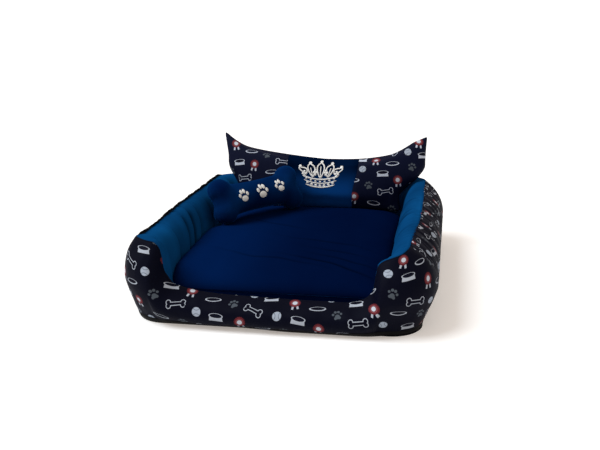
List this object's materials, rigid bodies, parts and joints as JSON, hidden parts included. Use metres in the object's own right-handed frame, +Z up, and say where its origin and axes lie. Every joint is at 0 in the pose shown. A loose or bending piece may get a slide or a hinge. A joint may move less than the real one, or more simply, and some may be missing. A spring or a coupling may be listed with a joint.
{
  "type": "pet bed",
  "caption": "Low-fronted pet bed: stuffed fabric walls round a zipped lift-out mattress, with a leaning zipped back cushion and a loose bone-shaped pillow.",
  "frame": {"origin": "on the floor, under the middle of the bed's footprint box", "axes": "+Z up, +Y from the low front entry to the rear wall, +X to the right as seen from the front"},
  "size_m": [0.6, 0.65, 0.2455],
  "materials": {
    "print_cloth": "woven microfibre, printed",
    "wall_velvet": "short-pile velvet",
    "mattress_velvet": "short-pile velvet",
    "base_cloth": "woven, rubber-dotted",
    "wadding": "loose fibre",
    "foam": "open-cell foam",
    "lining": "plain woven",
    "zip_row": "moulded teeth on woven tape",
    "zip_metal": "nickel plated"
  },
  "bodies": {
    "bed": {"base_cloth": "base_cloth", "base_band": "base_cloth", "base_wadding": "wadding", "floor_lining": "lining", "front_wall_outer_cover": "print_cloth", "front_wall_inner_cover": "wall_velvet", "front_wall_filling": "wadding", "left_post_filling": "wadding", "right_post_filling": "wadding", "left_wall_outer_cover": "print_cloth", "left_wall_inner_cover": "wall_velvet", "left_wall_filling": "wadding", "right_wall_outer_cover": "print_cloth", "right_wall_inner_cover": "wall_velvet", "right_wall_filling": "wadding", "rear_wall_outer_cover": "print_cloth", "rear_wall_inner_cover": "wall_velvet", "rear_wall_filling": "wadding"},
    "mattress": {"mattress_top_panel": "mattress_velvet", "mattress_boxing": "mattress_velvet", "mattress_zip_flap_upper": "mattress_velvet", "mattress_zip_flap_lower": "mattress_velvet", "mattress_bottom_panel": "base_cloth", "mattress_foam": "foam", "mattress_zip_upper_half": "zip_row", "mattress_zip_lower_half": "zip_row"},
    "mattress_zip_slider": {"mattress_zip_slider": "zip_metal"},
    "back_cushion": {"cushion_left_panel": "print_cloth", "cushion_centre_panel": "mattress_velvet", "cushion_right_panel": "print_cloth", "cushion_rear_upper_panel": "print_cloth", "cushion_rear_lower_panel": "print_cloth", "cushion_filling": "wadding", "cushion_zip_upper_half": "zip_row", "cushion_zip_lower_half": "zip_row"},
    "cushion_zip_slider": {"cushion_zip_slider": "zip_metal"},
    "cushion_zip_tab": {"cushion_zip_tab": "zip_metal"},
    "bone_pillow": {"bone_pillow_front": "mattress_velvet", "bone_pillow_rear": "mattress_velvet", "bone_pillow_filling": "wadding"}
  },
  "joints": [
    {"name": "mattress_lift", "type": "slide", "parent": "bed", "child": "mattress", "axis": [0, 0, 1], "range_m": [0, 0.2]},
    {"name": "back_cushion_lift", "type": "slide", "parent": "mattress", "child": "back_cushion", "axis": [0, 0.342, 0.9397], "range_m": [0, 0.12]},
    {"name": "bone_pillow_lift", "type": "slide", "parent": "mattress", "child": "bone_pillow", "axis": [0, 0, 1], "range_m": [0, 0.15]},
    {"name": "mattress_zip_slide", "type": "slide", "parent": "mattress", "child": "mattress_zip_slider", "axis": [1, 0, 0], "range_m": [0, 0.254]},
    {"name": "cushion_zip_slide", "type": "slide", "parent": "back_cushion", "child": "cushion_zip_slider", "axis": [1, 0, 0], "range_m": [0, 0.224]},
    {"name": "cushion_zip_tab_turn", "type": "hinge", "parent": "cushion_zip_slider", "child": "cushion_zip_tab", "pos_m": [-0.10041, 0.28053, 0.16782], "axis": [0, -0.342, -0.9397], "range_deg": [0, 180]}
  ]
}
